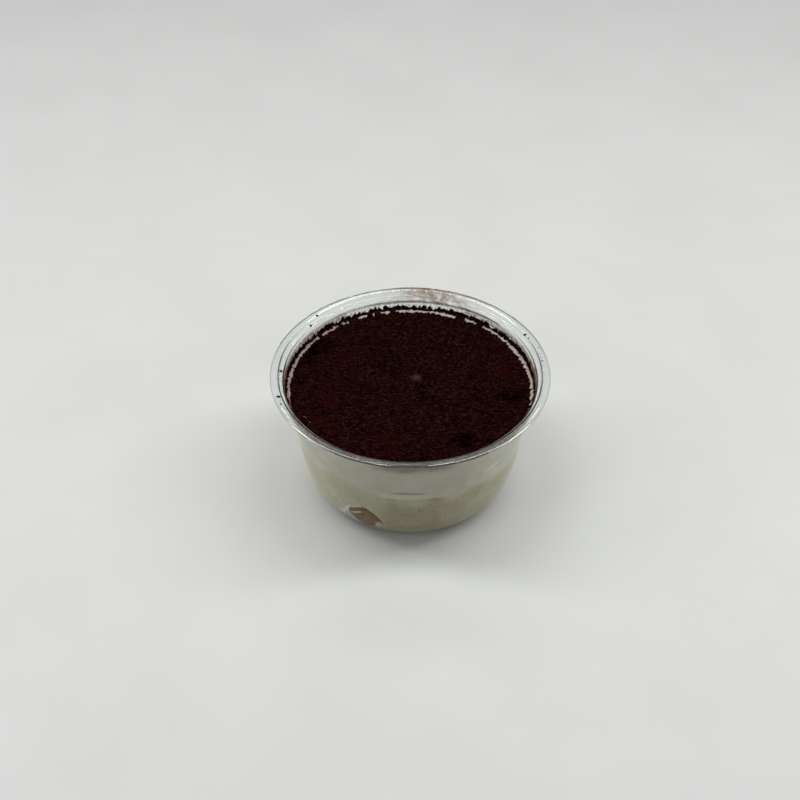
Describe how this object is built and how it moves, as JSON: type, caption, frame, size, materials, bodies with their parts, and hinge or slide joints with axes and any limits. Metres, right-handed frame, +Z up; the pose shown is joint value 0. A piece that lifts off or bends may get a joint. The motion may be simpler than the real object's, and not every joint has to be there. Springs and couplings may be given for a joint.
{
  "type": "tiramisu dessert cup",
  "caption": "Layered vegan tiramisu in a round clear plastic cup: coffee-tinted cream with a soaked biscuit piece, pale cream and a cocoa-dusted top.",
  "frame": {"origin": "centre of the cup's base, on the surface that it stands on", "axes": "+Z up along the cup's axis, -Y towards the side with the biscuit piece, +X to that side's right"},
  "size_m": [0.12, 0.12, 0.06],
  "materials": {
    "clear_plastic": "clear thermoformed PET, smooth and glossy",
    "cream_lower": "moist cream tinted by coffee, with fine dark specks",
    "biscuit": "wet brown sponge biscuit",
    "cream_upper": "smooth, moist, off-white cream",
    "cocoa": "fine dry cocoa powder, matt and slightly lumpy"
  },
  "bodies": {
    "root": {"cup": "clear_plastic", "cream_lower": "cream_lower", "biscuit": "biscuit", "cream_upper": "cream_upper", "cocoa": "cocoa", "cocoa_on_wall": "cocoa"}
  },
  "joints": []
}
